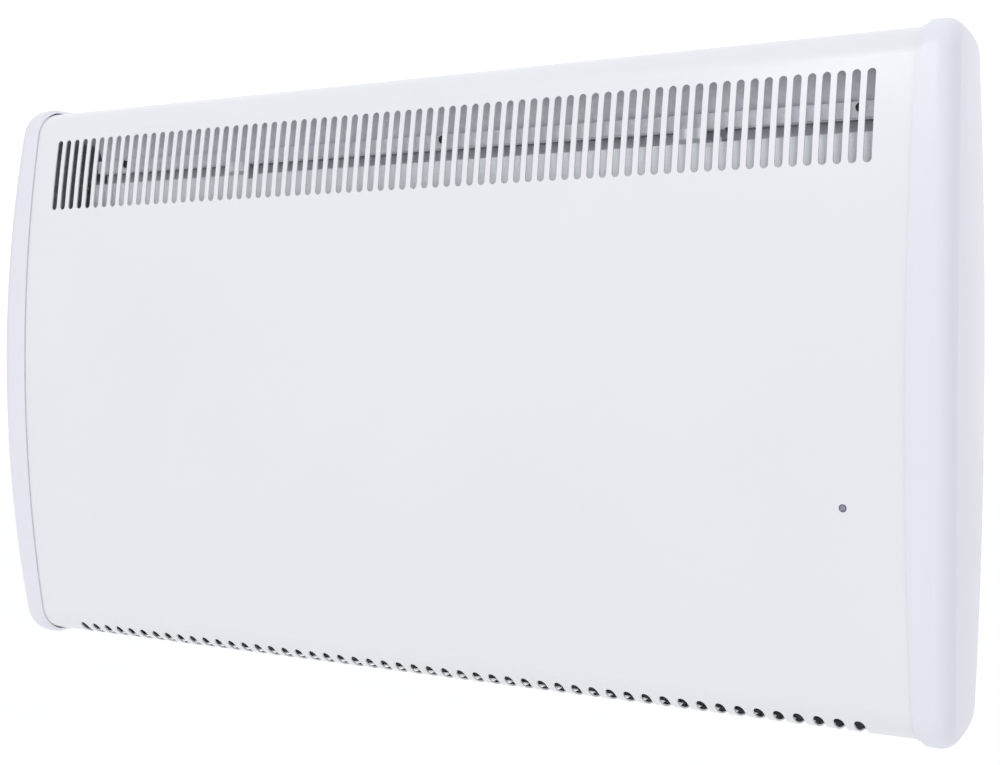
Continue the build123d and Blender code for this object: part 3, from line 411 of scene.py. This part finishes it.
def wire_insulation():
    """Heat-resisting braided sleeve."""
    sleeve = Finish("braided_sleeve")
    braid = sleeve.cells(1.3 * PER_MM, "Distance")
    dirt = sleeve.noise(0.08 * PER_MM, detail=3.0)
    sleeve.link(sleeve.ramp(dirt, (0.3, (0.54, 0.52, 0.47)), (0.7, (0.68, 0.67, 0.62))), "Base Color")
    sleeve.link(sleeve.remap(braid, 0.0, 0.6, 0.8, 0.6), "Roughness")
    sleeve.bump(braid, 0.0001, 0.7)
    return sleeve.material


FINISHES = {
    "cover_paint": cover_paint,
    "cap_plastic": cap_plastic,
    "galvanised": galvanised,
    "shield_steel": shield_steel,
    "screw_steel": screw_steel,
    # black_steel: painted shade, near-black heads standing in for shadow at the screw holes
    "black_steel": black_steel,
    "element_sheath": element_sheath,
    "fin_aluminium": fin_aluminium,
    "fan_aluminium": fan_aluminium,
    "core_steel": core_steel,
    "bronze": bronze,
    "copper_coil": copper_coil,
    "ceramic": ceramic,
    "rubber": rubber,
    "dark_plastic": dark_plastic,
    "white_plastic": white_plastic,
    "relay_blue": relay_blue,
    "circuit_board": circuit_board,
    "button_clear": button_clear,
    "wire_insulation": wire_insulation,
}


def dress_nodes():
    """Gives every CAD node the finish of its slot in the record."""
    made = {slot: make() for slot, make in FINISHES.items()}
    for subpart in frame["record"]["subparts"]:
        part = frame["nodes"][subpart["node"]]
        finish = made[subpart["material_slot"]]
        if not part.data.materials:
            part.data.materials.append(finish)
        for place in part.material_slots:
            place.material = finish


# ---------------------------------------------------------------- studio


def add_floor():
    """A wide pale floor, well below the heater."""
    half = FLOOR_HALF_WIDTH
    corners = [(-half, -half), (half, -half), (half, half), (-half, half)]
    mesh = bpy.data.meshes.new("floor")
    mesh.from_pydata([(x, y, FLOOR_Z) for x, y in corners], [], [(0, 1, 2, 3)])
    floor = bpy.data.objects.new("floor", mesh)
    bpy.context.scene.collection.objects.link(floor)
    finish = Finish("studio_floor")
    finish.link(finish.ramp(finish.noise(2.0), *grey_range(0.93, 0.006)), "Base Color")
    finish.set(Roughness=0.9, Specular_IOR_Level=0.1)
    mesh.materials.append(finish.material)


def add_soft_light(name, place, target, width, height, power):
    """A rectangular area light that faces a point."""
    data = bpy.data.lights.new(name, "AREA")
    data.shape = "RECTANGLE"
    data.size = width
    data.size_y = height
    data.energy = power
    light = bpy.data.objects.new(name, data)
    light.location = place
    aim = Vector(target) - Vector(place)
    light.rotation_euler = aim.to_track_quat("-Z", "Y").to_euler()
    bpy.context.scene.collection.objects.link(light)


def shade_sky_sides(tree, strength):
    """Dims the sky to the far left and right on the viewer's side, as the ends of a studio would be."""
    direction = tree.nodes.new("ShaderNodeTexCoord").outputs["Generated"]
    axes = tree.nodes.new("ShaderNodeSeparateXYZ")
    tree.links.new(direction, axes.inputs["Vector"])
    sideways = tree.nodes.new("ShaderNodeMath")
    sideways.operation = "ABSOLUTE"
    tree.links.new(axes.outputs["X"], sideways.inputs[0])
    reaches = (
        (sideways.outputs[0], SIDE_SHADE_START_X, 1.0),
        (axes.outputs["Y"], SIDE_SHADE_START_Y, SIDE_SHADE_FULL_Y),
    )
    shades = []
    for socket, clear, full in reaches:
        fade = tree.nodes.new("ShaderNodeMapRange")
        tree.links.new(socket, fade.inputs["Value"])
        fade.inputs["From Min"].default_value = clear
        fade.inputs["From Max"].default_value = full
        shades.append(fade.outputs["Result"])
    shade = tree.nodes.new("ShaderNodeMath")
    shade.operation = "MULTIPLY"
    tree.links.new(shades[0], shade.inputs[0])
    tree.links.new(shades[1], shade.inputs[1])
    level = tree.nodes.new("ShaderNodeMapRange")
    tree.links.new(shade.outputs[0], level.inputs["Value"])
    level.inputs["To Min"].default_value = SKY_STRENGTH
    level.inputs["To Max"].default_value = SKY_STRENGTH * (1.0 - SIDE_SHADE)
    tree.links.new(level.outputs["Result"], strength)


def add_studio():
    """Near-white sky all round, a key light for the soft highlight and a weak fill from below."""
    world = bpy.data.worlds.new("studio")
    world.use_nodes = True
    sky = world.node_tree.nodes["Background"]
    sky.inputs["Color"].default_value = SKY_COLOUR
    shade_sky_sides(world.node_tree, sky.inputs["Strength"])
    scene = bpy.context.scene
    scene.world = world
    scene.view_settings.view_transform = "Standard"
    add_soft_light("key_light", *KEY_LIGHT)
    add_soft_light("low_fill", *LOW_FILL_LIGHT)


def add_camera():
    """A nearly level camera to the right of the heater, looking back along its face."""
    data = bpy.data.cameras.new("camera")
    data.sensor_width = SENSOR_MM
    data.lens = LENS_MM
    data.clip_start = NEAR_CLIP
    data.clip_end = FAR_CLIP
    camera = bpy.data.objects.new("camera", data)
    bpy.context.scene.collection.objects.link(camera)
    camera.location = CAMERA_PLACE
    tilt = math.radians(90.0 + CAMERA_PITCH)
    camera.rotation_euler = (tilt, math.radians(CAMERA_ROLL), math.radians(CAMERA_YAW))
    bpy.context.scene.camera = camera


dress_nodes()
add_floor()
add_studio()
add_camera()
